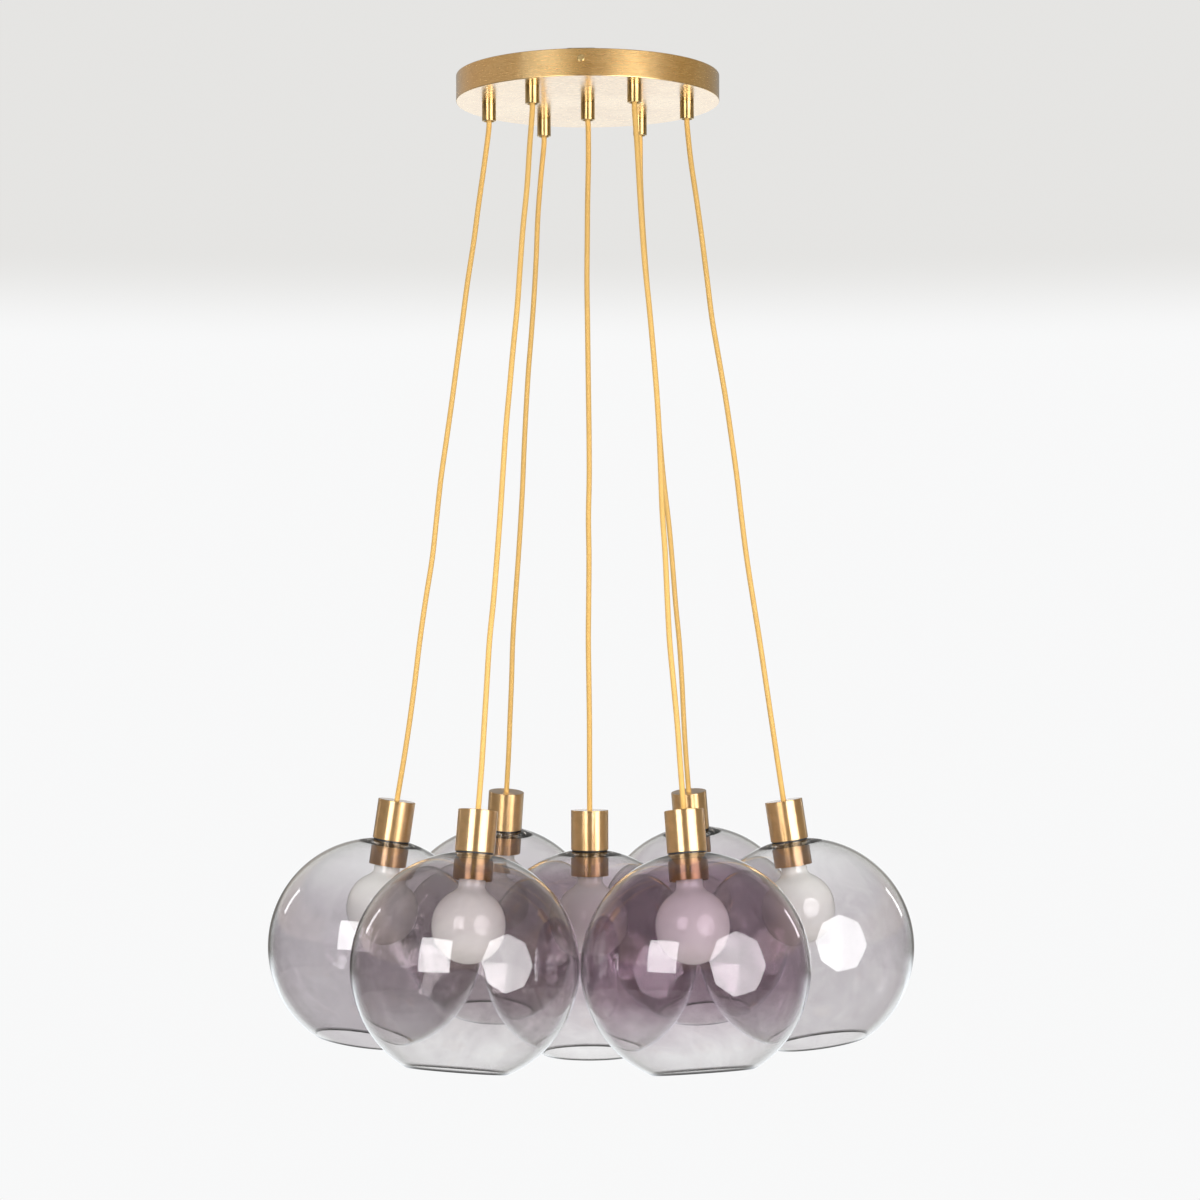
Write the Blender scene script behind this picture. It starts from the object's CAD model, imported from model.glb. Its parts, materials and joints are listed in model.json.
import json
import math

import bmesh
import bpy
from mathutils import Matrix, Vector


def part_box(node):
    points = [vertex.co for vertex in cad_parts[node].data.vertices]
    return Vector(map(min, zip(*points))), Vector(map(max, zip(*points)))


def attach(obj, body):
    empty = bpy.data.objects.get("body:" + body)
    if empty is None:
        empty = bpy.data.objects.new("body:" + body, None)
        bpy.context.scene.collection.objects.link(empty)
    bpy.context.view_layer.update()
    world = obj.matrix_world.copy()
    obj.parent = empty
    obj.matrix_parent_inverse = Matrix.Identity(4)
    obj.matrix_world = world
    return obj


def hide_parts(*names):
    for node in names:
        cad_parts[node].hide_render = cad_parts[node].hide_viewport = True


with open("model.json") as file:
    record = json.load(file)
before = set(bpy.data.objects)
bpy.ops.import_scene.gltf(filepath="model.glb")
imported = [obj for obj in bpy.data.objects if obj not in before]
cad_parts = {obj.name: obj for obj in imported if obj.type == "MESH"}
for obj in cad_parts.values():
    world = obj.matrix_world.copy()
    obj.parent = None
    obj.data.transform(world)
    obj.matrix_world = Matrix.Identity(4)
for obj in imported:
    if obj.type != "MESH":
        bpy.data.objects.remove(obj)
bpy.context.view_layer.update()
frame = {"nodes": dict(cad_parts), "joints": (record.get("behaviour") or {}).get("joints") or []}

# Cluster pendant with seven smoked glass globes. Metres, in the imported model's own frame.

MM = 0.001
SIDES = ["left", "right", "front_left", "front_right", "back_left", "back_right", "centre"]
AZIMUTHS = dict(zip(SIDES, [180, 0, 240, 300, 120, 60, 0]))  # degrees from +X towards +Y
JOINTS = {joint["name"]: joint for joint in frame["joints"]}
BODIES = {side: "canopy" if side == "centre" else "pendant_" + side for side in SIDES}
scene = bpy.context.scene


def new_object(name, data, matrix):
    made = bpy.data.objects.new(name, data)
    made.matrix_world = matrix
    scene.collection.objects.link(made)
    return made


# ---------------- camera

CAMERA_PLACE = Vector((0.1549, -3.1270, -0.6525))
CAMERA_YAW = math.radians(-2.609)
CAMERA_PITCH = math.radians(0.988)
CAMERA_ROLL = math.radians(-0.159)
CAMERA_LENS = 82.58  # lens and sensor in millimetres
CAMERA_SENSOR = 36


def make_camera():
    data = bpy.data.cameras.new("camera")
    data.lens = CAMERA_LENS
    data.sensor_width = CAMERA_SENSOR
    data.dof.use_dof = False
    flat = math.cos(CAMERA_PITCH)
    ahead = Vector((math.sin(CAMERA_YAW) * flat, math.cos(CAMERA_YAW) * flat, math.sin(CAMERA_PITCH)))
    level = Vector((math.cos(CAMERA_YAW), -math.sin(CAMERA_YAW), 0))
    right = level * math.cos(CAMERA_ROLL) + level.cross(ahead) * math.sin(CAMERA_ROLL)
    up = right.cross(ahead)
    turn = Matrix((right, up, -ahead)).transposed().to_4x4()
    scene.camera = new_object("camera", data, Matrix.Translation(CAMERA_PLACE) @ turn)


make_camera()


# ---------------- shader helpers


def add(tree, kind, inputs=(), **settings):
    """Adds a shader node. inputs maps a socket's name or number to a value or another node's output."""
    made = tree.nodes.new("ShaderNode" + kind)
    for key, value in settings.items():
        setattr(made, key, value)
    for key, value in dict(inputs).items():
        if isinstance(value, bpy.types.NodeSocket):
            tree.links.new(value, made.inputs[key])
        else:
            made.inputs[key].default_value = value
    return made


def calc(tree, operation, first, second=0.0, third=0.0):
    return add(tree, "Math", {0: first, 1: second, 2: third}, operation=operation).outputs[0]


def ramp(tree, factor, stops):
    """A colour ramp with (place, colour) stops, where a colour is (r, g, b) or one grey."""
    made = add(tree, "ValToRGB", {0: factor})
    points = made.color_ramp.elements
    while len(points) < len(stops):
        points.new(1.0)
    for point, (place, colour) in zip(points, stops):
        point.position = place
        grey = isinstance(colour, (int, float))
        point.color = (colour, colour, colour, 1) if grey else (*colour, 1)
    return made.outputs[0]


def mix(tree, factor, first, second, kind="MIX"):
    colours = [c if isinstance(c, bpy.types.NodeSocket) else (*c, 1) for c in (first, second)]
    made = add(tree, "Mix", {0: factor, 6: colours[0], 7: colours[1]}, data_type="RGBA", blend_type=kind)
    return made.outputs[2]


def times(tree, first, second):
    """One colour multiplied by the other."""
    return mix(tree, 1.0, first, second, "MULTIPLY")


def share(tree, value, low, high, kind="LINEAR"):
    """0 where the value is low, 1 where it is high, and between them on the way."""
    inputs = {"Value": value, "From Min": low, "From Max": high}
    return add(tree, "MapRange", inputs, interpolation_type=kind).outputs[0]


def noise(tree, vector, scale, detail, roughness, distortion=0.0, w=None):
    inputs = {
        "Vector": vector, "Scale": scale, "Detail": detail, "Roughness": roughness,
        "Distortion": distortion,
    }
    if w is not None:
        inputs["W"] = w
    return add(tree, "TexNoise", inputs, noise_dimensions="3D" if w is None else "4D").outputs[0]


def stretched(tree, scale=(1, 1, 1)):
    """Object coordinates with each axis scaled by itself."""
    place = add(tree, "TexCoord").outputs["Object"]
    return add(tree, "VectorMath", {0: place, 1: scale}, operation="MULTIPLY").outputs[0]


def axis_distance(tree):
    """Distance from the object's own Z axis."""
    flat = stretched(tree, (1, 1, 0))
    return add(tree, "VectorMath", {0: flat}, operation="LENGTH").outputs["Value"]


def height(tree):
    return add(tree, "SeparateXYZ", {0: add(tree, "TexCoord").outputs["Object"]}).outputs[2]


def bump(tree, shape, strength, distance):
    return add(tree, "Bump", {"Height": shape, "Strength": strength, "Distance": distance}).outputs[0]


def new_material(name):
    made = bpy.data.materials.new(name)
    made.use_nodes = True
    made.node_tree.nodes.clear()
    out = made.node_tree.nodes.new("ShaderNodeOutputMaterial")
    return made, made.node_tree, out


def join(tree, shader, out, socket="Surface"):
    tree.links.new(shader.outputs[0], out.inputs[socket])


def principled(tree, out, inputs):
    join(tree, add(tree, "BsdfPrincipled", inputs), out)


# ---------------- materials

BRUSH_MARKS = 1100  # noise cells in a metre across the brushed and the turned marks
LATHE_MARKS = 5200
QUARTER_TURN = 0.25  # turns a radial tangent across the marks that run round the axis


def brushed_brass():
    """The canopy: brushed round its axis, lacquered, with a mottled patina."""
    made, tree, out = new_material("brushed_brass")
    from_axis = calc(tree, "MULTIPLY", axis_distance(tree), BRUSH_MARKS)
    streaks = noise(tree, stretched(tree, (7, 7, BRUSH_MARKS)), 1.0, 3, 0.6, w=from_axis)
    cloud = noise(tree, stretched(tree, (1, 1, 0.6)), 16, 5, 0.62, 0.8)
    flecks = noise(tree, stretched(tree, (1, 1, 2.5)), 170, 4, 0.65, 0.6)
    patina = ramp(tree, cloud, [
        (0.30, (0.74, 0.46, 0.17)), (0.50, (0.85, 0.57, 0.24)), (0.70, (0.90, 0.64, 0.30))])
    colour = mix(tree, ramp(tree, streaks, [(0.35, 0.0), (0.75, 0.22)]), patina, (0.93, 0.70, 0.36))
    colour = mix(tree, ramp(tree, flecks, [(0.45, 0.0), (0.68, 0.45)]), colour, (0.56, 0.34, 0.12))
    worn = calc(tree, "MULTIPLY_ADD", streaks, 0.7, calc(tree, "MULTIPLY", flecks, 0.3))
    principled(tree, out, {
        "Base Color": colour, "Metallic": 1.0, "Roughness": ramp(tree, worn, [(0.32, 0.25), (0.68, 0.31)]),
        "Anisotropic": 0.3, "Anisotropic Rotation": QUARTER_TURN,
        "Coat Weight": 1.0, "Coat Roughness": 0.16,
        "Tangent": add(tree, "Tangent", direction_type="RADIAL", axis="Z").outputs[0],
        "Normal": bump(tree, streaks, 0.04, 0.00004),
    })
    return made


def turned_brass(name, tone, roughness, coat, metallic):
    """Lathe-turned, lacquered brass. Its fine rings spread every highlight across them."""
    made, tree, out = new_material(name)
    rings = noise(tree, stretched(tree, (12, 12, LATHE_MARKS)), 1.0, 2, 0.6)
    from_axis = calc(tree, "MULTIPLY", axis_distance(tree), LATHE_MARKS)
    faces = noise(tree, stretched(tree, (12, 12, 0)), 1.0, 2, 0.6, w=from_axis)
    lathe_marks = calc(tree, "ADD", calc(tree, "MULTIPLY", rings, 0.5), calc(tree, "MULTIPLY", faces, 0.5))
    cloud = noise(tree, stretched(tree), 70, 4, 0.6, 0.5)
    darker = tuple(c * 0.88 for c in tone)
    darkest = tuple(c * 0.7 for c in tone)
    colour = mix(tree, ramp(tree, cloud, [(0.35, 0.0), (0.65, 1.0)]), darker, tone)
    colour = mix(tree, ramp(tree, lathe_marks, [(0.42, 0.0), (0.62, 0.22)]), colour, darkest)
    rough = ramp(tree, lathe_marks, [(0.35, roughness * 0.9), (0.65, roughness * 1.12)])
    principled(tree, out, {
        "Base Color": colour, "Metallic": metallic, "Roughness": rough,
        "Anisotropic": 1.0, "Anisotropic Rotation": QUARTER_TURN,
        "Coat Weight": coat, "Coat Roughness": 0.09,
        "Tangent": add(tree, "Tangent", direction_type="RADIAL", axis="Z").outputs[0],
        "Normal": bump(tree, lathe_marks, 0.15, 0.00002),
    })
    return made


def plain_metal(name, light, dark, roughness):
    """Small machined or plated pieces, with tool marks one way and a cloudy surface."""
    made, tree, out = new_material(name)
    marks = noise(tree, stretched(tree, (260, 2600, 900)), 1.0, 3, 0.6)
    cloud = noise(tree, stretched(tree), 160, 5, 0.65, 0.6)
    colour = mix(tree, ramp(tree, cloud, [(0.32, 0.0), (0.68, 1.0)]), dark, light)
    rough = ramp(tree, marks, [(0.3, roughness * 0.75), (0.7, roughness * 1.35)])
    principled(tree, out, {
        "Base Color": colour, "Metallic": 1.0, "Roughness": rough,
        "Normal": bump(tree, marks, 0.25, 0.00004),
    })
    return made


def moulded(name, light, dark, roughness, coat, grain):
    """Moulded plastic: a fine spark-eroded grain and slight flow marks."""
    made, tree, out = new_material(name)
    grains = noise(tree, stretched(tree), grain, 3, 0.6)
    flow = noise(tree, stretched(tree, (1, 1, 0.4)), 45, 3, 0.5, 1.5)
    principled(tree, out, {
        "Base Color": mix(tree, flow, dark, light),
        "Roughness": ramp(tree, grains, [(0.3, roughness * 0.85), (0.7, roughness * 1.2)]),
        "Coat Weight": coat, "Coat Roughness": 0.2,
        "Normal": bump(tree, grains, 0.3, 0.00005),
    })
    return made


BRAID_STRANDS = 10  # strands each way round the cord
BRAID_RISE = 520  # strands of one set that cross a metre of the cord's length


def strand_wave(tree, place):
    """0 at both edges of every strand and 1 along its middle."""
    return calc(tree, "SINE", calc(tree, "MULTIPLY", calc(tree, "FRACT", place), math.pi))


def gold_braid():
    """Two sets of strands that wind round the cord in opposite directions, over and under."""
    made, tree, out = new_material("gold_braid")
    across = add(tree, "SeparateXYZ", {0: add(tree, "UVMap", uv_map="UVMap").outputs[0]})
    turn = calc(tree, "MULTIPLY", across.outputs[0], BRAID_STRANDS)
    rise = calc(tree, "MULTIPLY", across.outputs[1], BRAID_RISE)
    strands = [calc(tree, "ADD", turn, rise), calc(tree, "SUBTRACT", turn, rise)]
    cells = calc(tree, "ADD", calc(tree, "FLOOR", strands[0]), calc(tree, "FLOOR", strands[1]))
    over = calc(tree, "FLOORED_MODULO", cells, 2.0)
    backs = []
    for own, other in (strands, strands[::-1]):
        back = strand_wave(tree, own)
        crest = strand_wave(tree, other)
        round_back = calc(tree, "POWER", back, 0.6)
        lift = calc(tree, "MULTIPLY_ADD", crest, 0.4, 0.6)
        backs.append(calc(tree, "MULTIPLY", round_back, lift))
    first = calc(tree, "MULTIPLY", backs[0], over)
    second = calc(tree, "MULTIPLY", backs[1], calc(tree, "SUBTRACT", 1.0, over))
    relief = calc(tree, "ADD", first, second)
    fibres = noise(tree, stretched(tree), 2600, 3, 0.7)
    wear = noise(tree, stretched(tree), 22, 4, 0.6)
    yarn = ramp(tree, relief, [
        (0.0, (0.20, 0.105, 0.025)), (0.45, (0.46, 0.27, 0.07)), (1.0, (0.58, 0.37, 0.115))])
    colour = mix(tree, calc(tree, "MULTIPLY", fibres, 0.3), yarn, (0.66, 0.46, 0.18))
    colour = mix(tree, ramp(tree, wear, [(0.4, 0.0), (0.7, 0.25)]), colour, (0.40, 0.25, 0.08))
    shape = calc(tree, "ADD", relief, calc(tree, "MULTIPLY", fibres, 0.3))
    principled(tree, out, {
        "Base Color": colour, "Roughness": 0.5, "Specular IOR Level": 0.4,
        "Sheen Weight": 0.12, "Sheen Roughness": 0.4, "Sheen Tint": (1.0, 0.83, 0.52, 1),
        "Normal": bump(tree, shape, 0.8, 0.00016),
    })
    return made


# For each globe: the light that one wall lets through at its belly; how much of that smoke its crown,
# its upper third and its mouth have; where, on the way down from 0 to 1, the crown's smoke ends and
# the upper third's is reached; and the tone of its outline
SMOKE = {
    "left": ((0.750, 0.724, 0.744), 0.08, 0.85, 1.00, (0.10, 0.34), 0.66),
    "right": ((0.83, 0.810, 0.823), 0.10, 0.90, 0.90, (0.10, 0.30), 0.66),
    "front_left": ((0.775, 0.742, 0.753), 0.70, 1.65, 0.12, (0.06, 0.09), 0.34),
    "front_right": ((0.70, 0.625, 0.672), 0.70, 1.35, 0.05, (0.06, 0.09), 0.34),
    "back_left": ((0.76, 0.725, 0.745), 0.30, 0.80, 0.80, (0.12, 0.28), 0.62),
    "back_right": ((0.76, 0.720, 0.745), 0.35, 0.80, 0.80, (0.12, 0.28), 0.62),
    "centre": ((0.735, 0.68, 0.71), 0.40, 1.20, 0.12, (0.08, 0.13), 0.45),
}
CLEAR_GLASS = (0.955, 0.965, 0.962)
SEAT_GLASS = (23 * MM, 28 * MM)  # the ground glass of the seat ends between these radii
LIP = 3.5 * MM  # height of the dark line that the polished lip shows
CLOUD_STEPS = (3.7, 1.3)  # how far the clouds are moved from one globe to the next, in X and Y
CLOUD_DRIFT = 0.16  # how much of the way down the clouds can move the smoke's levels
GLASS_IOR = 1.5
GLASS_BODY = (0.68, 0.69, 0.685, 1)
GLASS_DENSITY = 22


def smoked_glass(side, top, low):
    """Clear glass with a smoked layer that is lighter at the crown and, on most globes, at the mouth.
    The wall's limb shows the clear glass end on, with a dark outline."""
    made, tree, out = new_material("smoked_glass_" + side)
    belly, crown, upper, mouth, (thin, full), edge = SMOKE[side]
    move = (SIDES.index(side) * CLOUD_STEPS[0], SIDES.index(side) * CLOUD_STEPS[1], 0)
    place = add(tree, "VectorMath", {0: add(tree, "TexCoord").outputs["Object"], 1: move}).outputs[0]
    clouds = noise(tree, place, 13, 5, 0.6, 1.6)
    drop = share(tree, height(tree), top, low)
    drop = calc(tree, "ADD", drop, calc(tree, "MULTIPLY_ADD", clouds, CLOUD_DRIFT, -CLOUD_DRIFT / 2))
    clearing = mouth + (1 - mouth) * 0.35
    levels = [
        (0.0, crown), (thin, crown), (full, upper), (0.44, 1.0), (0.66, 1.0), (0.80, clearing),
        (0.92, mouth)]
    smoke = ramp(tree, drop, [(at, tuple(c ** level for c in belly)) for at, level in levels])
    haze = ramp(tree, clouds, [(0.30, (0.92, 0.91, 0.92)), (0.62, (1, 1, 1))])
    smoke = times(tree, smoke, haze)
    facing = add(tree, "LayerWeight", {"Blend": 0.5}).outputs["Facing"]
    limb = ramp(tree, facing, [(0.66, 0.0), (0.77, 0.75), (0.92, 0.95)])
    outline = ramp(tree, facing, [(0.92, 1.0), (0.97, edge)])
    wall = times(tree, mix(tree, limb, smoke, CLEAR_GLASS), outline)
    lip = share(tree, height(tree), low, low + LIP)
    wall = times(tree, wall, ramp(tree, lip, [(0.0, 0.05), (0.5, 0.16), (1.0, 1.0)]))
    seat = share(tree, axis_distance(tree), *SEAT_GLASS)
    wall = times(tree, wall, ramp(tree, seat, [(0.0, 0.12), (1.0, 1.0)]))
    # The shader lets the root of its colour through at each face. A front face gives the whole wall's
    # colour, and a back face, seen from within the glass, gives none.
    wall = times(tree, wall, wall)
    from_within = add(tree, "NewGeometry").outputs["Backfacing"]
    glass = add(tree, "BsdfPrincipled", {
        "Base Color": mix(tree, from_within, wall, (1, 1, 1)), "Roughness": 0.0, "IOR": GLASS_IOR,
        "Transmission Weight": 1.0,
    })
    face = add(tree, "Gamma", {0: smoke, 1: 0.5})  # a shadow ray meets both faces of the wall
    clear = add(tree, "BsdfTransparent", {0: face.outputs[0]})
    shadow = add(tree, "LightPath").outputs["Is Shadow Ray"]
    join(tree, add(tree, "MixShader", {0: shadow, 1: glass.outputs[0], 2: clear.outputs[0]}), out)
    body = add(tree, "VolumeAbsorption", {"Color": GLASS_BODY, "Density": GLASS_DENSITY})
    join(tree, body, out, "Volume")
    return made


def opal_glass(neck_z, shoulder_z):
    """White opal envelope, glossy, a little greyer at the neck."""
    made, tree, out = new_material("opal_glass")
    up = share(tree, height(tree), shoulder_z, neck_z)
    cloud = noise(tree, stretched(tree), 55, 3, 0.5, 0.8)
    body = mix(tree, cloud, (0.69, 0.69, 0.66), (0.74, 0.74, 0.71))
    colour = mix(tree, up, body, (0.65, 0.655, 0.635))
    principled(tree, out, {
        "Base Color": colour, "Roughness": 0.6, "Specular IOR Level": 0.1,
        "Coat Weight": 1.0, "Coat Roughness": 0.0, "Coat IOR": 1.65,
        "Subsurface Weight": 0.25, "Subsurface Radius": (0.012, 0.011, 0.010), "Subsurface Scale": 1.0,
        "Normal": bump(tree, cloud, 0.05, 0.0002),
    })
    return made


# ---------------- mesh helpers

FILLET_STEPS = 4
SUPPORT = 0.25 * MM  # short edge beside a fillet that keeps the next face flat
TINY = 1e-7  # a point nearer the axis than this lies on it
CUT_SHARP = 30  # degrees between faces from which an edge stays sharp on cut pieces
DRILL_SEGMENTS = 48


def rounded(corners):
    """An outline through (radius, height, fillet) corners, each fillet an arc between two short edges."""
    outline = []
    for k, (r, z, fillet) in enumerate(corners):
        here = Vector((r, z))
        if not fillet:
            outline.append((r, z))
            continue
        before = (Vector(corners[k - 1][:2]) - here).normalized()
        after = (Vector(corners[(k + 1) % len(corners)][:2]) - here).normalized()
        half = before.angle(after) / 2
        reach = fillet / math.tan(half)
        centre = here + (before + after).normalized() * fillet / math.sin(half)
        start = here + before * reach - centre
        sweep_angle = start.angle_signed(here + after * reach - centre)
        outline.append(tuple(here + before * (reach + SUPPORT)))
        for j in range(FILLET_STEPS + 1):
            turn = Matrix.Rotation(-sweep_angle * j / FILLET_STEPS, 2)
            outline.append(tuple(centre + turn @ start))
        outline.append(tuple(here + after * (reach + SUPPORT)))
    return outline


def ball_arc(radius, centre_z, start, finish, steps):
    """Points on a ball's outline, by the angle from its top."""
    angles = [start + (finish - start) * j / steps for j in range(steps + 1)]
    return [(radius * math.sin(a), centre_z + radius * math.cos(a)) for a in angles]


def smooth_between(start, start_pull, finish_pull, finish, steps):
    """Points on a cubic curve between start and finish, without its two ends."""
    points = []
    for j in range(1, steps):
        t = j / steps
        s = 1 - t
        weights = (s ** 3, 3 * s * s * t, 3 * s * t * t, t ** 3)
        corners = (start, start_pull, finish_pull, finish)
        points.append(tuple(sum(w * c[k] for w, c in zip(weights, corners)) for k in (0, 1)))
    return points


def place_mesh(name, mesh, matrix, body, material, replaced):
    """Adds a mesh as a piece that rides on a body and stands for the CAD nodes named in replaced."""
    piece = new_object(name, mesh, matrix)
    if not mesh.materials:
        mesh.materials.append(material)
    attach(piece, body)
    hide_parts(*replaced)
    return piece


def finish_mesh(mesh, sharp):
    work = bmesh.new()
    work.from_mesh(mesh)
    bmesh.ops.recalc_face_normals(work, faces=work.faces)
    work.to_mesh(mesh)
    work.free()
    mesh.shade_smooth()
    mesh.set_sharp_from_angle(angle=math.radians(sharp))
    return mesh


def turned(name, outline, segments=96, sharp=32, loop=True, ripple=None):
    """A mesh of revolution. outline lists (radius, height) points; loop joins its two ends.
    ripple gives an extra radius from the angle, the radius and the height, for a thread."""
    vertices = []
    rings = []
    for r, z in outline:
        if r < TINY:
            rings.append([len(vertices)])
            vertices.append((0, 0, z))
            continue
        rings.append(list(range(len(vertices), len(vertices) + segments)))
        for s in range(segments):
            angle = math.tau * s / segments
            wide = r + (ripple(angle, r, z) if ripple else 0)
            vertices.append((wide * math.cos(angle), wide * math.sin(angle), z))
    faces = []
    for low, high in zip(rings, rings[1:] + (rings[:1] if loop else [])):
        for s in range(segments):
            t = (s + 1) % segments
            corners = [low[s % len(low)], low[t % len(low)], high[t % len(high)], high[s % len(high)]]
            corners = list(dict.fromkeys(corners))
            if len(corners) > 2:
                faces.append(corners)
    mesh = bpy.data.meshes.new(name)
    mesh.from_pydata(vertices, [], faces)
    return finish_mesh(mesh, sharp)


def cut(piece_mesh, cutters):
    """The mesh with the cutter meshes, each with its matrix, taken away from it."""
    body = new_object("body", piece_mesh, Matrix())
    tools = []
    for mesh, matrix in cutters:
        tool = new_object("tool", mesh, matrix)
        tools.append(tool)
        modifier = body.modifiers.new("cut", "BOOLEAN")
        modifier.operation = "DIFFERENCE"
        modifier.solver = "EXACT"
        modifier.object = tool
    bpy.context.view_layer.update()
    evaluated = body.evaluated_get(bpy.context.evaluated_depsgraph_get())
    result = bpy.data.meshes.new_from_object(evaluated)
    for extra in [body, *tools]:
        bpy.data.objects.remove(extra)
    result.materials.clear()
    result.shade_smooth()
    result.set_sharp_from_angle(angle=math.radians(CUT_SHARP))
    return result


def drill(radius, low, high):
    outline = [(0, low), (radius, low), (radius, high), (0, high)]
    return turned("drill", outline, DRILL_SEGMENTS, loop=False)


def block(name, low, high):
    mesh = bpy.data.meshes.new(name)
    corners = [(x, y, z) for x in (low[0], high[0]) for y in (low[1], high[1]) for z in (low[2], high[2])]
    faces = [(0, 1, 3, 2), (4, 6, 7, 5), (0, 4, 5, 1), (2, 3, 7, 6), (0, 2, 6, 4), (1, 5, 7, 3)]
    mesh.from_pydata(corners, [], faces)
    return finish_mesh(mesh, CUT_SHARP)


# ---------------- cords

CORD_D = 6 * MM
CORD_POCKET = 8 * MM  # how far a cord runs into its cup
CORD_SIDES = 24
CORD_STEP = 3 * MM
CORD_SHARP = 50  # degrees between faces from which an edge stays sharp
CAP_RINGS = 5  # rings on a cord's round upper end
CAP_TIP = 0.4  # the first of them stops short of the tip by this share of a step

# The routes of the free cords: [outwards, sideways, height] in each lamp's own vertical plane, in mm
OUTER_START = [[113, 0, -45], [113, 0, -52], [113.5, 0, -62]]
ROUTES = {
    "left": [
        [118.5, 0, -100], [125, 0, -145], [131, 0, -190], [138, 0, -235], [144, 0, -280], [150, 0, -325],
        [156, 0, -370], [162.5, 0, -415], [169, 0, -460], [174, 0, -505], [179, 0, -550], [187, 0, -600],
        [193.5, 0, -645], [199, 0, -690], [205, 0, -735], [212, 0, -780]],
    "right": [
        [117.5, 0, -100], [124, 0, -145], [130, 0, -190], [135.5, 0, -235], [141, 0, -280], [148.5, 0, -325],
        [156, 0, -370], [162.5, 0, -415], [168.5, 0, -460], [173.5, 0, -505], [179, 0, -550],
        [186.5, 0, -600], [193.5, 0, -645], [200, 0, -690], [206.5, 0, -735], [213, 0, -780]],
    "front_left": [
        [118, -0.5, -100], [124, 0, -145], [130.5, -1, -190], [136.5, -1, -235], [143, -0.5, -280],
        [149.5, -1.5, -325], [156, -2, -370], [162.5, -2.5, -415], [168, -2.5, -460], [174, -2, -505],
        [180, -2, -550], [186.5, -2.5, -600], [193, -3.5, -645], [199.5, -2.5, -690], [206, -1.5, -735],
        [212.5, -0.5, -780]],
    "front_right": [
        [118, 0.5, -100], [124, 0, -145], [130.5, -0.5, -190], [136.5, 0, -235], [143, 1.5, -280],
        [149.5, 2.5, -325], [156, 3, -370], [162.5, 2.5, -415], [168, 1.5, -460], [174, 0, -505],
        [180, 0, -550], [186.5, -1, -600], [193, -2, -645], [199.5, -1, -690], [206, 0, -735],
        [212.5, 0, -780]],
    "back_left": [
        [118, 2, -100], [124, 3, -145], [130.5, 2, -190], [136.5, 2, -235], [143, 2.5, -280],
        [149.5, 3.5, -325], [156, 3.5, -370], [162.5, 3, -415], [168, 2.5, -460], [174, 2.5, -505],
        [180, 3, -550], [186.5, 4, -600], [193, 4, -645], [199.5, 2.5, -690], [206, 1.5, -735],
        [212.5, 0.5, -780]],
    "back_right": [
        [118, 2.5, -100], [124, 4, -145], [130.5, 4.5, -190], [136.5, 4, -235], [143, 3, -280],
        [149.5, 2.5, -325], [156, 3, -370], [162.5, 3, -415], [168, 1.5, -460], [174, -1, -505],
        [180, -2, -550], [186.5, -2.5, -600], [193, -3.5, -645], [199.5, -3, -690], [206, -1.5, -735],
        [212.5, -0.5, -780]],
    "centre": [
        [0, 0, -45], [0, 0, -52], [0.5, 0, -62], [0.5, 0, -100], [-0.5, 0, -145], [-1, 0, -190],
        [-1.5, 0, -235], [-1, 0, -280], [-0.5, 0, -325], [0, 0, -370], [0.5, 0, -415], [0.5, 0, -460],
        [-0.5, 0, -505], [0, 0, -550], [-0.5, 0, -600], [-1, 0, -645], [-0.5, 0, -690], [0, 0, -735],
        [0, 0, -780], [0, 0, -815]],
}
# The clamped cord ends inside the canopy, from each grip over to the terminal block, in mm
TAIL_RISE = [-41.5, -25, -19]
TAILS = {
    "left": [[-110, -2, -10], [-103, -7, -8], [-60, -40, -9], [-25, -60, -10], [-11, -60, -10]],
    "right": [[110, -2, -10], [103, -6, -8], [60, -33, -9], [25, -50, -10], [11, -50, -10]],
    "front_left": [[-54, -98, -10], [-47, -97, -8], [-35, -94, -9], [-25, -90, -10], [-11, -90, -10]],
    "front_right": [[54, -97, -10], [47, -94, -8], [35, -87, -9], [25, -80, -10], [11, -80, -10]],
    "back_left": [
        [-55.5, 95, -10], [-53, 87, -8], [-32, 0, -9], [-29, -26, -9], [-25, -36, -10], [-15, -40, -10],
        [-11, -40, -10]],
    "back_right": [
        [55.5, 95, -10], [53, 87, -8], [32, 0, -9], [29, -16, -9], [25, -26, -10], [15, -30, -10],
        [11, -30, -10]],
    "centre": [[0, -3, -13], [0, -13, -10], [0, -25, -10]],
}


def grip_place(side):
    """Centre of a cord grip under the canopy."""
    if side == "centre":
        return Vector((0, 0, 0))
    return Vector((*JOINTS["swing_" + side]["pos_m"][:2], 0))


def curve_through(points, step):
    """Points on a smooth curve through the route, about a step apart."""
    line = []
    last = len(points) - 1
    for k in range(last):
        p0, p1, p2, p3 = (points[max(0, min(last, k + j))] for j in (-1, 0, 1, 2))
        count = max(1, round((p2 - p1).length / step))
        for j in range(count):
            t = j / count
            line.append(0.5 * (2 * p1 + (p2 - p0) * t + (2 * p0 - 5 * p1 + 4 * p2 - p3) * t * t
                               + (3 * p1 - p0 - 3 * p2 + p3) * t ** 3))
    return line + [points[last]]


def free_line(side):
    turn = Matrix.Rotation(math.radians(AZIMUTHS[side]), 3, "Z")
    route = ROUTES[side] if side == "centre" else OUTER_START + ROUTES[side]
    joint = JOINTS["turn_" + side]
    cup_top = Vector(joint["pos_m"])
    pocket = cup_top + CORD_POCKET * Vector(joint["axis"])
    return curve_through([turn @ Vector(p) * MM for p in route] + [cup_top, pocket], CORD_STEP)


def tail_line(side):
    place = grip_place(side)
    rise = [Vector((place.x, place.y, z * MM)) for z in TAIL_RISE]
    return curve_through(rise + [Vector(p) * MM for p in TAILS[side]], CORD_STEP)


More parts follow.
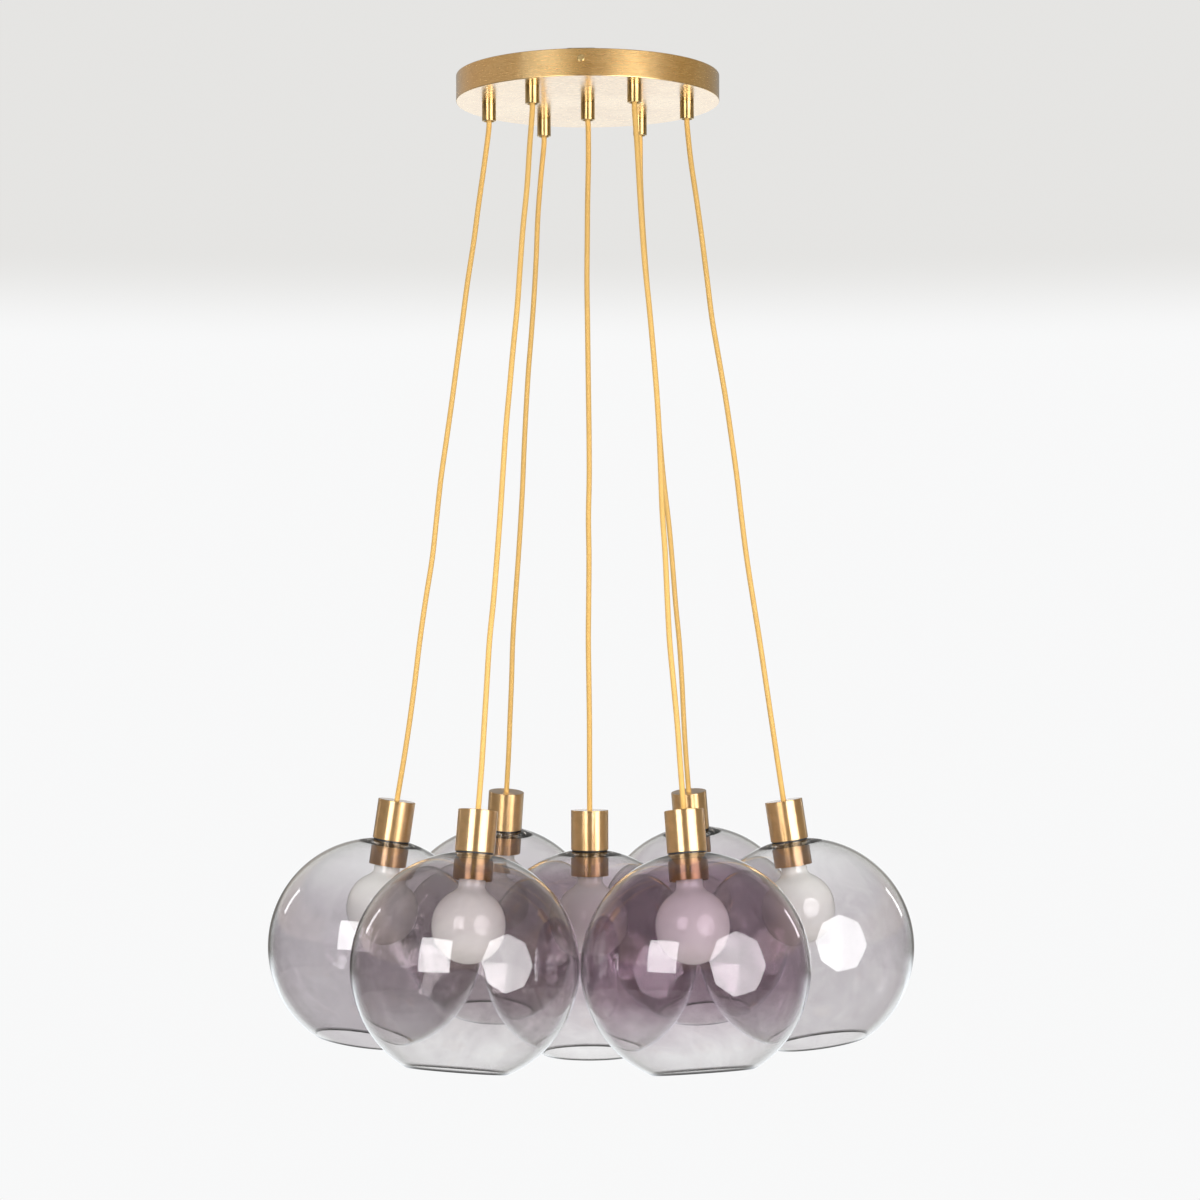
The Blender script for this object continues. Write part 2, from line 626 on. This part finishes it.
def tube(name, line, radius, sides):
    """A closed tube along a line, with a round upper end and UVs: turns round it, metres along it."""
    ahead = [(line[min(k + 1, len(line) - 1)] - line[max(k - 1, 0)]).normalized() for k in range(len(line))]
    side_way = ahead[0].orthogonal().normalized()
    rings = []
    for j in range(CAP_RINGS, 0, -1):
        lift = math.pi / 2 * j / (CAP_RINGS + CAP_TIP)
        rings.append((line[0] - ahead[0] * radius * math.sin(lift), radius * math.cos(lift), ahead[0], 0.0))
    travelled = 0.0
    for k, point in enumerate(line):
        travelled += (point - line[k - 1]).length if k else 0.0
        rings.append((point, radius, ahead[k], travelled))
    vertices = []
    for centre, wide, way, _ in rings:
        side_way = (side_way - way * side_way.dot(way)).normalized()
        other = way.cross(side_way)
        for s in range(sides):
            angle = math.tau * s / sides
            vertices.append(centre + wide * (side_way * math.cos(angle) + other * math.sin(angle)))
    faces = []
    marks = []
    for k in range(len(rings) - 1):
        for s in range(sides):
            t = (s + 1) % sides
            faces.append((k * sides + s, k * sides + t, (k + 1) * sides + t, (k + 1) * sides + s))
            low, high = rings[k][3], rings[k + 1][3]
            marks += [(s / sides, low), ((s + 1) / sides, low), ((s + 1) / sides, high), (s / sides, high)]
    for ring in (range(sides - 1, -1, -1), range((len(rings) - 1) * sides, len(rings) * sides)):
        faces.append(tuple(ring))
        marks += [(0.5, 0.0)] * sides
    mesh = bpy.data.meshes.new(name)
    mesh.from_pydata(vertices, [], faces)
    layer = mesh.uv_layers.new(name="UVMap")
    layer.uv.foreach_set("vector", [value for mark in marks for value in mark])
    mesh.shade_smooth()
    mesh.set_sharp_from_angle(angle=math.radians(CORD_SHARP))
    return mesh


BRAID = gold_braid()


def make_cord(side):
    line = free_line(side)
    mesh = tube("flex_" + side, line, CORD_D / 2, CORD_SIDES)
    piece = place_mesh("flex_" + side, mesh, Matrix(), BODIES[side], BRAID, ["cord_" + side])
    tail = tube("tail_" + side, tail_line(side), CORD_D / 2, CORD_SIDES)
    place_mesh("tail_" + side, tail, Matrix(), "canopy", BRAID, ["cord_tails"])


for side in SIDES:
    make_cord(side)


# ---------------- canopy

PAN_LOW, PAN_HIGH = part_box("canopy")
PAN_R = PAN_HIGH.x
PAN_WALL = 1.5 * MM
PAN_FLOOR = 2 * MM
PAN_LIP = 0.6 * MM  # rounding of the rim's upper edge
PAN_BEND = 0.7 * MM  # rounding where the rim is bent from the floor
NIPPLE_HOLE_R = 5.2 * MM
SCREW_HOLE_R = 2.3 * MM
SCREW_Z = -12 * MM
SCREW_HEAD_R = 4 * MM
SCREW_HEAD_H = 2.4 * MM
SCREW_SHANK_R = 1.95 * MM
SCREW_SHANK_L = 9 * MM
SCREW_SLOT_W = 1.2 * MM
SCREW_SLOT_H = 1 * MM
SCREW_TIP_EDGE = 0.4 * MM  # roundings of the shank's end and of the head's foot and top
SCREW_FOOT_EDGE = 0.2 * MM
SCREW_TOP_EDGE = 1.1 * MM
SCREW_TURNS = {"front": 0, "back": math.pi}

GRIP_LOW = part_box("cord_grips")[0].z
GRIP_TOP = PAN_LOW.z
GRIP_R = 8 * MM
GRIP_MOUTH_R = 6 * MM
GRIP_MOUTH_H = 6 * MM
GRIP_TOP_EDGE = 0.2 * MM  # roundings at its top, outside and inside its mouth and at its throat
GRIP_FOOT_EDGE = 0.7 * MM
GRIP_MOUTH_EDGE = 0.5 * MM
GRIP_THROAT_EDGE = 1.5 * MM
CORD_HOLE_R = 3.3 * MM
COLLET_Z = (GRIP_TOP - 12 * MM, GRIP_TOP - 7 * MM)
COLLET_R = 4.55 * MM
NIPPLE_R = 5.05 * MM


def make_canopy():
    outline = rounded([
        (0, PAN_LOW.z, 0),
        (PAN_R, PAN_LOW.z, PAN_BEND),
        (PAN_R, PAN_HIGH.z, PAN_LIP),
        (PAN_R - PAN_WALL, PAN_HIGH.z, PAN_LIP),
        (PAN_R - PAN_WALL, PAN_LOW.z + PAN_FLOOR, PAN_LIP),
        (0, PAN_LOW.z + PAN_FLOOR, 0),
    ])
    pan = turned("pan", outline, segments=256, loop=False)
    through = drill(NIPPLE_HOLE_R, PAN_LOW.z - MM, PAN_LOW.z + PAN_FLOOR + MM)
    cutters = [(through, Matrix.Translation(grip_place(side))) for side in SIDES]
    side_drill = drill(SCREW_HOLE_R, PAN_R - 2 * PAN_WALL, PAN_R + MM)
    cutters += [(side_drill, rim_matrix(turn, 0)) for turn in SCREW_TURNS.values()]
    mesh = cut(pan, cutters)
    place_mesh("canopy_pan", mesh, Matrix(), "canopy", brushed_brass(), ["canopy"])


def rim_matrix(turn, reach):
    """A frame at the height of the rim screws whose Z axis points out of the rim."""
    lay = Matrix.Rotation(math.radians(90), 4, "X")
    return Matrix.Rotation(turn, 4, "Z") @ Matrix.Translation((0, -reach, SCREW_Z)) @ lay


def make_rim_screws(brass):
    outline = rounded([
        (0, -SCREW_SHANK_L, 0),
        (SCREW_SHANK_R, -SCREW_SHANK_L, SCREW_TIP_EDGE),
        (SCREW_SHANK_R, 0, 0),
        (SCREW_HEAD_R, 0, SCREW_FOOT_EDGE),
        (SCREW_HEAD_R, SCREW_HEAD_H, SCREW_TOP_EDGE),
        (0, SCREW_HEAD_H, 0),
    ])
    head = turned("screw", outline, segments=64, loop=False)
    slot_low = (-SCREW_SLOT_W / 2, -2 * SCREW_HEAD_R, SCREW_HEAD_H - SCREW_SLOT_H)
    slot_high = (SCREW_SLOT_W / 2, 2 * SCREW_HEAD_R, SCREW_HEAD_H + SCREW_SLOT_H)
    mesh = cut(head, [(block("slot", slot_low, slot_high), Matrix())])
    for name, turn in SCREW_TURNS.items():
        place_mesh("rim_screw_" + name, mesh, rim_matrix(turn, PAN_R), "canopy", brass,
                   ["rim_screws"])


def make_grips(brass):
    outline = rounded([
        (GRIP_R, GRIP_TOP, GRIP_TOP_EDGE),
        (GRIP_R, GRIP_LOW, GRIP_FOOT_EDGE),
        (GRIP_MOUTH_R, GRIP_LOW, GRIP_MOUTH_EDGE),
        (CORD_HOLE_R, GRIP_LOW + GRIP_MOUTH_H, GRIP_THROAT_EDGE),
        (CORD_HOLE_R, COLLET_Z[0], 0),
        (COLLET_R, COLLET_Z[0], 0),
        (COLLET_R, COLLET_Z[1], 0),
        (NIPPLE_R, COLLET_Z[1], 0),
        (NIPPLE_R, GRIP_TOP, GRIP_TOP_EDGE),
    ])
    mesh = turned("grip", outline)
    for side in SIDES:
        place_mesh("grip_" + side, mesh, Matrix.Translation(grip_place(side)), "canopy",
                   brass, ["cord_grips"])


POLISHED = turned_brass(
    "polished_brass", tone=(0.66, 0.485, 0.22), roughness=0.32, coat=0.4, metallic=1.0)
make_canopy()
make_rim_screws(POLISHED)
make_grips(POLISHED)


# ---------------- lamps

CENTRE_TOP = JOINTS["turn_centre"]["pos_m"][2]


def centre_sizes(kind):
    """Radius, top and bottom of a node of the centre lamp, which hangs upright, in its own frame."""
    low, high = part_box(kind + "_centre")
    return (high.x - low.x) / 2, high.z - CENTRE_TOP, low.z - CENTRE_TOP


CUP_R, _, CUP_LOW = centre_sizes("holder_cup")
RING_R, RING_TOP, RING_LOW = centre_sizes("shade_ring")
GLOBE_R, SEAT_Z, MOUTH_Z = centre_sizes("globe")
BULB_R, SPIGOT_TOP, BULB_LOW = centre_sizes("bulb_glass")
CAP_R, CONTACT_TOP, CAP_LOW = centre_sizes("bulb_cap")

CUP_WALL = 1.5 * MM  # of the cup and of the ring's skirt
CUP_TOP_T = 7 * MM
CUP_THREAD_TOP = -2 * MM
CUP_EDGE = 0.7 * MM
FINE_EDGE = 0.25 * MM
RING_BORE_R = 16.55 * MM
RING_SKIRT_H = 8 * MM  # plain part of the ring below its thread

SEAT_R = 20.5 * MM
NECK_HOLE_R = 17.25 * MM
INNER_SEAT = 5.5 * MM  # thickness of the glass at its ground seat
GLOBE_WALL = 2.4 * MM
INNER_SHIFT = 0.4 * MM  # how far the inner face's centre lies below the outer's
BOSS_R = (22 * MM, 36 * MM)  # the thick glass round the neck thins out between these radii
BOSS_STEPS = 8
OUTER_EDGE = 2.5 * MM  # roundings of the fire-polished mouth
INNER_EDGE = 0.9 * MM
GLOBE_RINGS = 64
GLOBE_SEGMENTS = 128

BULB_NECK_R = 14.5 * MM
BULB_WALL = 1 * MM
SPIGOT_R = 12.65 * MM
NECK_STRAIGHT = 6 * MM
SHOULDER_ANGLE = math.radians(40)
SHOULDER_PULL = 6 * MM
NECK_PULL = 4.5 * MM
BULB_RISE = 2.3 * MM  # how far the centre of the bulb's upper half lies above the lower half's
BULB_RINGS = 24
NECK_RINGS = 12
OPAL_FADE = 22 * MM  # the grey of the neck fades out over this length below the ring
THREAD_PITCH = 3.6 * MM
THREAD_DEPTH = 0.42 * MM
THREAD_RINGS = 60
CAP_WALL = 1.4 * MM  # from the thread's crest to the cap's inside
CAP_TOP_T = 1 * MM
CAP_TIP_H = 4 * MM
TIP_R = 11.7 * MM
TIP_LAND = 1 * MM  # flat glass round the contact
TIP_FOOT_EDGE = 0.4 * MM
TIP_TOP_EDGE = 0.6 * MM
CONTACT_R = 5 * MM
CONTACT_H = 0.8 * MM
CONTACT_TAPER = 0.2 * MM
CONTACT_EDGE = 0.5 * MM


def cup_mesh():
    return turned("cup", rounded([
        (CORD_HOLE_R, 0, FINE_EDGE),
        (CUP_R, 0, CUP_EDGE),
        (CUP_R, CUP_LOW, FINE_EDGE),
        (CUP_R - CUP_WALL, CUP_LOW, FINE_EDGE),
        (CUP_R - CUP_WALL, -CUP_TOP_T, 0),
        (NIPPLE_R, -CUP_TOP_T, 0),
        (NIPPLE_R, CUP_THREAD_TOP, 0),
        (CORD_HOLE_R, CUP_THREAD_TOP, 0),
    ]), segments=128)


def ring_mesh():
    bore_top = RING_LOW + RING_SKIRT_H
    return turned("ring", rounded([
        (RING_BORE_R, RING_TOP, FINE_EDGE),
        (RING_R, RING_TOP, FINE_EDGE),
        (RING_R, RING_LOW, FINE_EDGE),
        (RING_R - CUP_WALL, RING_LOW, FINE_EDGE),
        (RING_R - CUP_WALL, bore_top, 0),
        (RING_BORE_R, bore_top, FINE_EDGE),
    ]), segments=128)


def globe_mesh():
    centre = SEAT_Z - math.sqrt(GLOBE_R ** 2 - SEAT_R ** 2)
    mouth_angle = math.acos((MOUTH_Z - centre) / GLOBE_R)
    inner_r = GLOBE_R - GLOBE_WALL
    inner_centre = centre - INNER_SHIFT
    inner_top = math.asin(BOSS_R[1] / inner_r)
    inner_mouth = math.acos((MOUTH_Z - inner_centre) / inner_r)
    outer = ball_arc(GLOBE_R, centre, math.asin(SEAT_R / GLOBE_R), mouth_angle, GLOBE_RINGS)
    inner = ball_arc(inner_r, inner_centre, inner_mouth, inner_top, GLOBE_RINGS)
    corners = [(NECK_HOLE_R, SEAT_Z, FINE_EDGE)]
    corners += [(r, z, 0) for r, z in outer[:-1]] + [(*outer[-1], OUTER_EDGE), (*inner[0], INNER_EDGE)]
    corners += [(r, z, 0) for r, z in inner[1:]]
    reach = (BOSS_R[1] - BOSS_R[0]) / 3
    pull = (inner[-1][0] - reach, inner[-1][1] + reach * math.tan(inner_top))
    boss = (BOSS_R[0], SEAT_Z - INNER_SEAT)
    thinning = smooth_between(inner[-1], pull, (boss[0] + reach, boss[1]), boss, BOSS_STEPS)
    corners += [(r, z, 0) for r, z in thinning]
    corners += [(*boss, 0), (NECK_HOLE_R, boss[1], FINE_EDGE)]
    return turned("globe", rounded(corners), GLOBE_SEGMENTS, sharp=40)


def bulb_outline(inset):
    """The bulb's outline from its lowest point up to the top of its neck, smaller all round by inset."""
    radius = BULB_R - inset
    neck_r = BULB_NECK_R - inset
    centre = BULB_LOW + BULB_R
    ball = ball_arc(radius, centre, math.pi, math.pi / 2, BULB_RINGS)
    ball += ball_arc(radius, centre + BULB_RISE, math.pi / 2, SHOULDER_ANGLE, BULB_RINGS)
    neck_low = (neck_r, RING_LOW - NECK_STRAIGHT)
    shoulder = ball[-1]
    pull = (shoulder[0] - SHOULDER_PULL * math.cos(SHOULDER_ANGLE),
            shoulder[1] + SHOULDER_PULL * math.sin(SHOULDER_ANGLE))
    waist = smooth_between(shoulder, pull, (neck_r, neck_low[1] - NECK_PULL), neck_low, NECK_RINGS)
    return [(0, centre - radius)] + ball[1:] + waist + [neck_low]


def bulb_mesh():
    outer = bulb_outline(0) + [(BULB_NECK_R, CAP_LOW), (SPIGOT_R, CAP_LOW), (SPIGOT_R, SPIGOT_TOP)]
    inner = bulb_outline(BULB_WALL) + [(SPIGOT_R - BULB_WALL, CAP_LOW), (SPIGOT_R - BULB_WALL, SPIGOT_TOP)]
    return turned("opal", outer + inner[::-1], sharp=40, loop=False)


def cap_mesh():
    """The bulb's rolled screw cap. The thread fades out at both of its ends."""
    top = CONTACT_TOP - CAP_TIP_H
    levels = [CAP_LOW + (top - CAP_LOW) * j / THREAD_RINGS for j in range(THREAD_RINGS + 1)]
    mean_r = CAP_R - THREAD_DEPTH
    inner_r = CAP_R - CAP_WALL

    def thread(angle, radius, z):
        if radius < mean_r - TINY:
            return 0
        fade = min(1, (z - CAP_LOW) / THREAD_PITCH, (top - z) / THREAD_PITCH)
        return THREAD_DEPTH * fade * math.sin(math.tau * z / THREAD_PITCH - angle)

    outline = [(mean_r, z) for z in levels] + [(TIP_R, top), (CONTACT_R, top)]
    outline += [(CONTACT_R, top - CAP_TOP_T), (inner_r, top - CAP_TOP_T), (inner_r, CAP_LOW)]
    return turned("cap", outline, sharp=40, ripple=thread)


def tip_mesh():
    """The black glass that holds the cap's contact."""
    top = CONTACT_TOP - CONTACT_H
    base = CONTACT_TOP - CAP_TIP_H
    return turned("tip", rounded([
        (0, base, 0),
        (TIP_R, base, TIP_FOOT_EDGE),
        (CONTACT_R + TIP_LAND, top, TIP_TOP_EDGE),
        (0, top, 0),
    ]), segments=64, loop=False)


def contact_mesh():
    return turned("contact", rounded([
        (0, CONTACT_TOP - CONTACT_H, 0),
        (CONTACT_R, CONTACT_TOP - CONTACT_H, 0),
        (CONTACT_R - CONTACT_TAPER, CONTACT_TOP, CONTACT_EDGE),
        (0, CONTACT_TOP, 0),
    ]), segments=48, loop=False)


def lamp_frame(side):
    """The lamp's own frame at the top of its cup: Z up along the lamp, X near the world's X."""
    joint = JOINTS["turn_" + side]
    up = -Vector(joint["axis"])
    across = up.cross(Vector((1, 0, 0))).normalized()
    turn = Matrix((across.cross(up), across, up)).transposed().to_4x4()
    return Matrix.Translation(Vector(joint["pos_m"])) @ turn


SATIN = turned_brass("turned_brass", tone=(0.82, 0.53, 0.245), roughness=0.36, coat=1.0, metallic=0.93)
SHADED = turned_brass("shaded_brass", tone=(0.50, 0.295, 0.155), roughness=0.34, coat=0.6, metallic=1.0)
OPAL = opal_glass(RING_LOW, RING_LOW - OPAL_FADE)
NICKEL = plain_metal("nickel_cap", (0.80, 0.78, 0.73), (0.62, 0.60, 0.55), roughness=0.22)
VITRITE = moulded(
    "vitrite", (0.022, 0.020, 0.024), (0.010, 0.009, 0.012), roughness=0.25, coat=0.6, grain=900)
# The pieces of a lamp: mesh, body, slot, material and the node that each stands for. Every globe has
# a mesh and a glass of its own; the other pieces are shared.
PIECES = {
    "cup": (cup_mesh(), "lamp_", "turned_brass", SATIN, "holder_cup_"),
    "ring": (ring_mesh(), "lamp_", "turned_brass", SHADED, "shade_ring_"),
    "glass": (globe_mesh(), "lamp_", "smoked_glass", None, "globe_"),
    "opal": (bulb_mesh(), "bulb_", "opal_glass", OPAL, "bulb_glass_"),
    "cap": (cap_mesh(), "bulb_", "nickel_cap", NICKEL, "bulb_cap_"),
    "tip": (tip_mesh(), "bulb_", "nickel_cap", VITRITE, "bulb_cap_"),
    "contact": (contact_mesh(), "bulb_", "nickel_cap", NICKEL, "bulb_cap_"),
}


def make_lamp(side):
    at = lamp_frame(side)
    for name, (mesh, body, slot, material, node) in PIECES.items():
        if name == "glass":
            mesh = mesh.copy()
            material = smoked_glass(side, SEAT_Z, MOUTH_Z)
        place_mesh(f"{name}_{side}", mesh, at, body + side, material, [node + side])


for side in SIDES:
    make_lamp(side)


# ---------------- pieces that stay as CAD solids

STEEL = plain_metal("zinc_steel", (0.66, 0.68, 0.70), (0.50, 0.52, 0.55), roughness=0.30)
MACHINED = plain_metal("plain_brass", (0.78, 0.58, 0.31), (0.64, 0.45, 0.22), roughness=0.26)
NYLON = moulded(
    "white_nylon", (0.86, 0.85, 0.80), (0.80, 0.78, 0.72), roughness=0.45, coat=0.1, grain=1400)
PHENOLIC = moulded(
    "black_phenolic", (0.030, 0.028, 0.028), (0.018, 0.017, 0.017), roughness=0.55, coat=0.0, grain=1200)
WELD_REACH = 0.005 * MM
EDGE_SEGMENTS = 3
EDGE_SHARP = 40  # degrees between faces from which an edge is softened

# Each node's material and the width of its softened edges in millimetres
KEPT = {
    "ceiling_bracket": (STEEL, 0.5), "grip_nipples": (MACHINED, 0.25), "grip_locknuts": (STEEL, 0.35),
    "cord_collets": (NYLON, 0.25), "terminal_block": (NYLON, 0.6), "terminal_screws": (MACHINED, 0.12),
    "earth_clamp": (MACHINED, 0.5),
}
KEPT.update({"lampholder_" + side: (PHENOLIC, 0.3) for side in SIDES})


def dress_node(name, material, edge_mm):
    """Gives a CAD solid its material and soft edges."""
    node = frame["nodes"][name]
    node.data.materials.clear()
    node.data.materials.append(material)
    weld = node.modifiers.new("weld", "WELD")
    weld.merge_threshold = WELD_REACH
    edge = node.modifiers.new("edge", "BEVEL")
    edge.width = edge_mm * MM
    edge.segments = EDGE_SEGMENTS
    edge.limit_method = "ANGLE"
    edge.angle_limit = math.radians(EDGE_SHARP)
    edge.harden_normals = True


for name, (material, edge_mm) in KEPT.items():
    dress_node(name, material, edge_mm)


# ---------------- studio

AIM = Vector((0, 0, -0.93))
FLOOR_Z = -2.6
FLOOR_R = 6.0
WALL_TONE = (0.940, 0.942, 0.944)
CEILING_TONE = (0.787, 0.781, 0.766)

TAN_WALL = (0.60, 0.50, 0.40)
BROWN_WALL = (0.45, 0.35, 0.20)
LIT_WALL = (1.0, 1.0, 1.0)
DARK_WALL = (0.30, 0.30, 0.30)
PALE_FLOOR = (1.10, 1.15, 1.20)


def both_sides(stops):
    """Stops on the right, from the front to the back, with the same ones on the left before them."""
    return [(-azimuth, tone) for azimuth, tone in stops[:0:-1]] + stops


# What polished pieces mirror near the horizon, below it and above it, by azimuth in degrees from the
# front, positive to the right
LEVEL_SURROUND = both_sides([
    (0, (0.10, 0.09, 0.08)), (166, (0.20, 0.19, 0.18)), (172, LIT_WALL), (180, LIT_WALL)])
LOW_SURROUND = both_sides([
    (0, (0.12, 0.11, 0.10)), (124, (0.25, 0.24, 0.23)), (150, PALE_FLOOR), (180, PALE_FLOOR)])
HIGH_SURROUND = [
    (-180, DARK_WALL), (-120, TAN_WALL), (-60, TAN_WALL), (-45, LIT_WALL), (-30, LIT_WALL),
    (-10, BROWN_WALL), (30, TAN_WALL), (60, TAN_WALL), (90, BROWN_WALL), (180, DARK_WALL),
]
ZENITH_TONE = (0.24, 0.24, 0.23)
NADIR_TONE = (0.30, 0.30, 0.29)

# Elevations in degrees between which each of these takes over from what is nearer the horizon
CEILING_RISE = (6.2, 8.2)
HIGH_RISE = (3, 8)
LOW_RISE = (-6, -11)
ZENITH_RISE = (22, 34)
NADIR_RISE = (-24, -40)


def by_azimuth(tree, azimuth, surround):
    """The surround's tone, where azimuth goes from 0 to 1 all the way round."""
    return ramp(tree, azimuth, [((a + 180) / 360, tone) for a, tone in surround])


def make_world():
    """What the camera sees is a pale wall and ceiling. What bounced rays see is a darker room."""
    world = bpy.data.worlds.new("studio")
    scene.world = world
    world.use_nodes = True
    world.cycles.sampling_method = "NONE"
    tree = world.node_tree
    tree.nodes.clear()
    out = tree.nodes.new("ShaderNodeOutputWorld")
    way = add(tree, "SeparateXYZ", {0: add(tree, "TexCoord").outputs["Generated"]})
    x, y, z = way.outputs
    azimuth = calc(tree, "ARCTAN2", x, calc(tree, "MULTIPLY", y, -1.0))
    azimuth = calc(tree, "MULTIPLY_ADD", azimuth, 1 / math.tau, 0.5)
    rise = calc(tree, "MULTIPLY", calc(tree, "ARCSINE", z), 180 / math.pi)
    path = add(tree, "LightPath")
    bounced = calc(tree, "ADD", path.outputs["Glossy Depth"], path.outputs["Diffuse Depth"])
    bounced = calc(tree, "MINIMUM", bounced, 1.0)
    straight = mix(tree, share(tree, rise, *CEILING_RISE, "SMOOTHSTEP"), WALL_TONE, CEILING_TONE)
    level = by_azimuth(tree, azimuth, LEVEL_SURROUND)
    low = by_azimuth(tree, azimuth, LOW_SURROUND)
    high = by_azimuth(tree, azimuth, HIGH_SURROUND)
    mirrored = mix(tree, share(tree, rise, *HIGH_RISE, "SMOOTHSTEP"), level, high)
    mirrored = mix(tree, share(tree, rise, *LOW_RISE, "SMOOTHSTEP"), mirrored, low)
    matt = calc(tree, "MINIMUM", path.outputs["Diffuse Depth"], 1.0)
    zenith = mix(tree, matt, ZENITH_TONE, CEILING_TONE)
    mirrored = mix(tree, share(tree, rise, *ZENITH_RISE, "SMOOTHSTEP"), mirrored, zenith)
    mirrored = mix(tree, share(tree, rise, *NADIR_RISE, "SMOOTHSTEP"), mirrored, NADIR_TONE)
    colour = mix(tree, bounced, straight, mirrored)
    join(tree, add(tree, "Background", {"Color": colour}), out)


PANEL_TONE = 0.90  # the dimmest that a segment of a softbox can be at its centre
PANEL_SPREAD = 0.24  # how much brighter than that a segment can be
PANEL_FADE = 0.10  # what it loses in each metre from the centre


def glow_material(name, radiance, ribs):
    """A lit panel that only glossy rays see, with faint segments round its centre."""
    made, tree, out = new_material(name)
    flat = add(tree, "SeparateXYZ", {0: add(tree, "TexCoord").outputs["Object"]})
    angle = calc(tree, "ARCTAN2", flat.outputs[0], flat.outputs[1])
    sector = calc(tree, "FLOOR", calc(tree, "MULTIPLY", angle, ribs / math.tau))
    tone = add(tree, "TexWhiteNoise", {"W": sector}, noise_dimensions="1D").outputs[0]
    fade = calc(tree, "MULTIPLY", axis_distance(tree), -PANEL_FADE)
    level = calc(tree, "ADD", calc(tree, "MULTIPLY_ADD", tone, PANEL_SPREAD, PANEL_TONE), fade)
    glow = add(tree, "Emission", {"Strength": calc(tree, "MULTIPLY", level, radiance)})
    clear = add(tree, "BsdfTransparent")
    seen = calc(tree, "MINIMUM", add(tree, "LightPath").outputs["Glossy Depth"], 1.0)
    join(tree, add(tree, "MixShader", {0: seen, 1: clear.outputs[0], 2: glow.outputs[0]}), out)
    made.cycles.emission_sampling = "NONE"
    return made


def polygon(corners, radius, turn):
    angles = [turn + math.tau * k / corners for k in range(corners)]
    return [(radius * math.cos(a), radius * math.sin(a)) for a in angles]


def make_softbox(name, place, outline, radiance, energy):
    """A panel that the gloss mirrors and, if it has any energy, an area lamp in its place that
    lights the rest."""
    facing = (AIM - place).to_track_quat("Z", "Y").to_matrix().to_4x4()
    at = Matrix.Translation(place) @ facing
    mesh = bpy.data.meshes.new(name)
    mesh.from_pydata([(x, y, 0) for x, y in outline], [], [range(len(outline))])
    mesh.materials.append(glow_material(name, radiance, len(outline)))
    panel = new_object(name, mesh, at)
    panel.visible_camera = False
    panel.visible_diffuse = False
    panel.visible_shadow = False
    if not energy:
        return
    data = bpy.data.lights.new(name + "_lamp", "AREA")
    data.shape = "DISK"
    data.size = 2 * max(x for x, y in outline)
    data.energy = energy
    lamp = new_object(name + "_lamp", data, at @ Matrix.Rotation(math.pi, 4, "X"))
    lamp.visible_camera = False
    lamp.visible_glossy = False
    lamp.visible_transmission = False


def make_floor():
    disc = turned("floor", [(0, 0), (FLOOR_R, 0)], segments=128, loop=False)
    floor = new_object("floor", disc, Matrix.Translation((0, 0, FLOOR_Z)))
    made, tree, out = new_material("pale_floor")
    cloud = noise(tree, stretched(tree), 1.2, 3, 0.5)
    principled(tree, out, {
        "Base Color": mix(tree, cloud, (0.86, 0.86, 0.855), (0.89, 0.888, 0.885)), "Roughness": 0.7,
        "Specular IOR Level": 0.2,
    })
    floor.data.materials.append(made)
    floor.visible_glossy = False


SQUARE = polygon(4, 0.590, math.pi / 4)
OCTAGON = polygon(8, 0.845, 0.15)
STRIP_X = 0.045  # half of a strip's width and of its length
STRIP_Y = 0.20
STRIP = [(-STRIP_X, -STRIP_Y), (STRIP_X, -STRIP_Y), (STRIP_X, STRIP_Y), (-STRIP_X, STRIP_Y)]

make_world()
make_softbox("square_softbox", Vector((-0.725, -1.516, -0.555)), SQUARE, radiance=9.0, energy=25)
make_softbox("octagon_softbox", Vector((1.150, -1.300, -0.760)), OCTAGON, radiance=7.5, energy=36)
make_softbox("left_strip", Vector((-1.46, 0.65, -0.46)), STRIP, radiance=5.0, energy=0)
make_softbox("right_strip", Vector((1.30, 0.95, -0.57)), STRIP, radiance=5.0, energy=0)
make_floor()
scene.view_settings.view_transform = "Standard"
scene.cycles.blur_glossy = 0
scene.cycles.max_bounces = 36
scene.cycles.transmission_bounces = 32
scene.cycles.glossy_bounces = 8
scene.cycles.diffuse_bounces = 4
scene.cycles.transparent_max_bounces = 64
